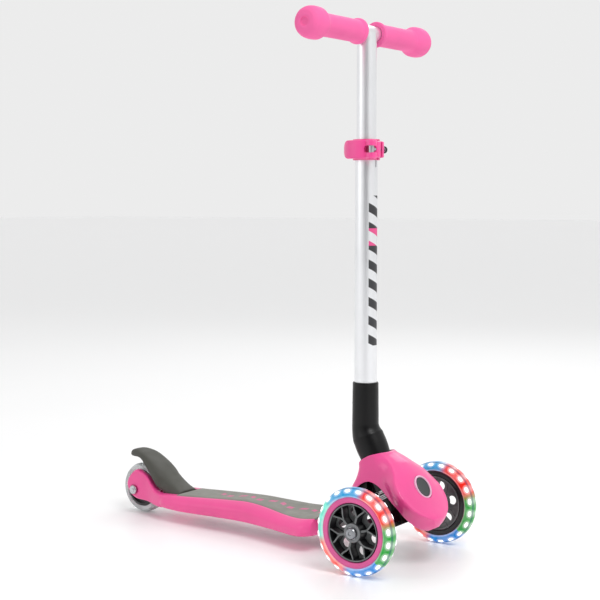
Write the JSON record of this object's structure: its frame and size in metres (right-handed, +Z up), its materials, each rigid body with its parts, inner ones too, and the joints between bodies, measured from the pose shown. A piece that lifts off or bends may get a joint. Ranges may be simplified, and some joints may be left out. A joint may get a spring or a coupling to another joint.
{
  "type": "kick scooter",
  "caption": "Child's kick scooter with a height-adjustable T-bar, light-up front wheels, grip deck and rear fender brake.",
  "frame": {"origin": "on the ground under the middle of the scooter's outline", "axes": "+X forward, +Y to the rider's left, +Z up along the T-bar"},
  "size_m": [0.595, 0.3, 0.7612],
  "materials": {
    "pink_plastic": "satin",
    "grip_rubber": "matt",
    "pad_rubber": "matt",
    "brake_nylon": "matt",
    "black_nylon": "satin",
    "hub_nylon": "satin",
    "tube_aluminium": "satin",
    "steel": "zinc plated",
    "clear_tyre": "clear polyurethane",
    "light_strip": "frosted",
    "bush_plastic": "smooth",
    "button_plastic": "satin",
    "bezel_plastic": "satin"
  },
  "bodies": {
    "steering": {"axle_carrier": "black_nylon", "steering_spindle": "steel", "centering_spring": "steel", "right_front_axle_bolt": "steel", "left_front_axle_bolt": "steel", "steering_elbow": "black_nylon", "elbow_screw": "steel", "lower_tube": "tube_aluminium", "clamp_collar": "pink_plastic", "clamp_bolt": "steel", "clamp_washer": "steel", "clamp_nut": "black_nylon", "clamp_pivot_pin": "steel"},
    "deck": {"head_tube": "tube_aluminium", "upper_steering_bush": "bush_plastic", "lower_steering_bush": "bush_plastic", "button_bezel": "bezel_plastic", "button_spring": "steel", "deck_body": "pink_plastic", "deck_grip_pad": "pad_rubber", "deck_stiffener_plate": "steel", "plate_screw_rear_right": "steel", "plate_screw_rear_left": "steel", "plate_screw_front_right": "steel", "plate_screw_front_left": "steel", "head_screw_right": "steel", "head_screw_left": "steel", "steering_head": "black_nylon", "rear_side_spacer_right": "steel", "rear_side_spacer_left": "steel", "rear_axle_bolt": "steel", "rear_axle_nut": "steel", "brake_hinge_pin": "steel", "front_hull": "pink_plastic"},
    "lock_button": {"steering_lock_button": "button_plastic"},
    "rear_wheel": {"rear_tyre": "clear_tyre", "rear_hub": "hub_nylon", "rear_bearing_right": "steel", "rear_bearing_left": "steel", "rear_bearing_spacer": "steel"},
    "brake": {"rear_brake": "brake_nylon"},
    "right_front_wheel": {"right_front_tyre": "clear_tyre", "right_front_light_ring": "light_strip", "right_front_core_ring": "pink_plastic", "right_front_hub": "hub_nylon", "right_front_bearing_inner": "steel", "right_front_bearing_outer": "steel", "right_front_bearing_spacer": "steel"},
    "left_front_wheel": {"left_front_tyre": "clear_tyre", "left_front_light_ring": "light_strip", "left_front_core_ring": "pink_plastic", "left_front_hub": "hub_nylon", "left_front_bearing_inner": "steel", "left_front_bearing_outer": "steel", "left_front_bearing_spacer": "steel"},
    "handlebar": {"handlebar_tee": "tube_aluminium", "right_grip": "grip_rubber", "left_grip": "grip_rubber"},
    "clamp_lever": {"clamp_lever": "pink_plastic"}
  },
  "joints": [
    {"name": "steering", "type": "hinge", "parent": "deck", "child": "steering", "pos_m": [0.2295, 0, 0.0605], "axis": [-0.4462, 0, 0.8949], "range_deg": [-18, 18], "stiffness_Nm_per_rad": 4},
    {"name": "bar_height", "type": "slide", "parent": "steering", "child": "handlebar", "axis": [0, 0, 1], "range_m": [-0.1, 0]},
    {"name": "clamp_lever", "type": "hinge", "parent": "steering", "child": "clamp_lever", "pos_m": [0.1919, -0.0195, 0.5765], "axis": [0, 0, 1], "range_deg": [0, 140]},
    {"name": "right_front_wheel", "type": "hinge", "parent": "steering", "child": "right_front_wheel", "pos_m": [0.2295, -0.11, 0.0605], "axis": [0, 1, 0], "continuous": true},
    {"name": "left_front_wheel", "type": "hinge", "parent": "steering", "child": "left_front_wheel", "pos_m": [0.2295, 0.11, 0.0605], "axis": [0, 1, 0], "continuous": true},
    {"name": "rear_wheel", "type": "hinge", "parent": "deck", "child": "rear_wheel", "pos_m": [-0.2575, 0, 0.04], "axis": [0, 1, 0], "continuous": true},
    {"name": "brake", "type": "hinge", "parent": "deck", "child": "brake", "pos_m": [-0.1755, 0, 0.038], "axis": [0, -1, 0], "range_deg": [0, 3], "stiffness_Nm_per_rad": 12, "springref_deg": -2.86},
    {"name": "steering_lock", "type": "slide", "parent": "deck", "child": "lock_button", "axis": [-0.8526, 0, -0.5225], "range_m": [0, 0.004], "stiffness_N_per_m": 400, "springref_m": -0.001, "deforming": ["button_spring"]}
  ]
}
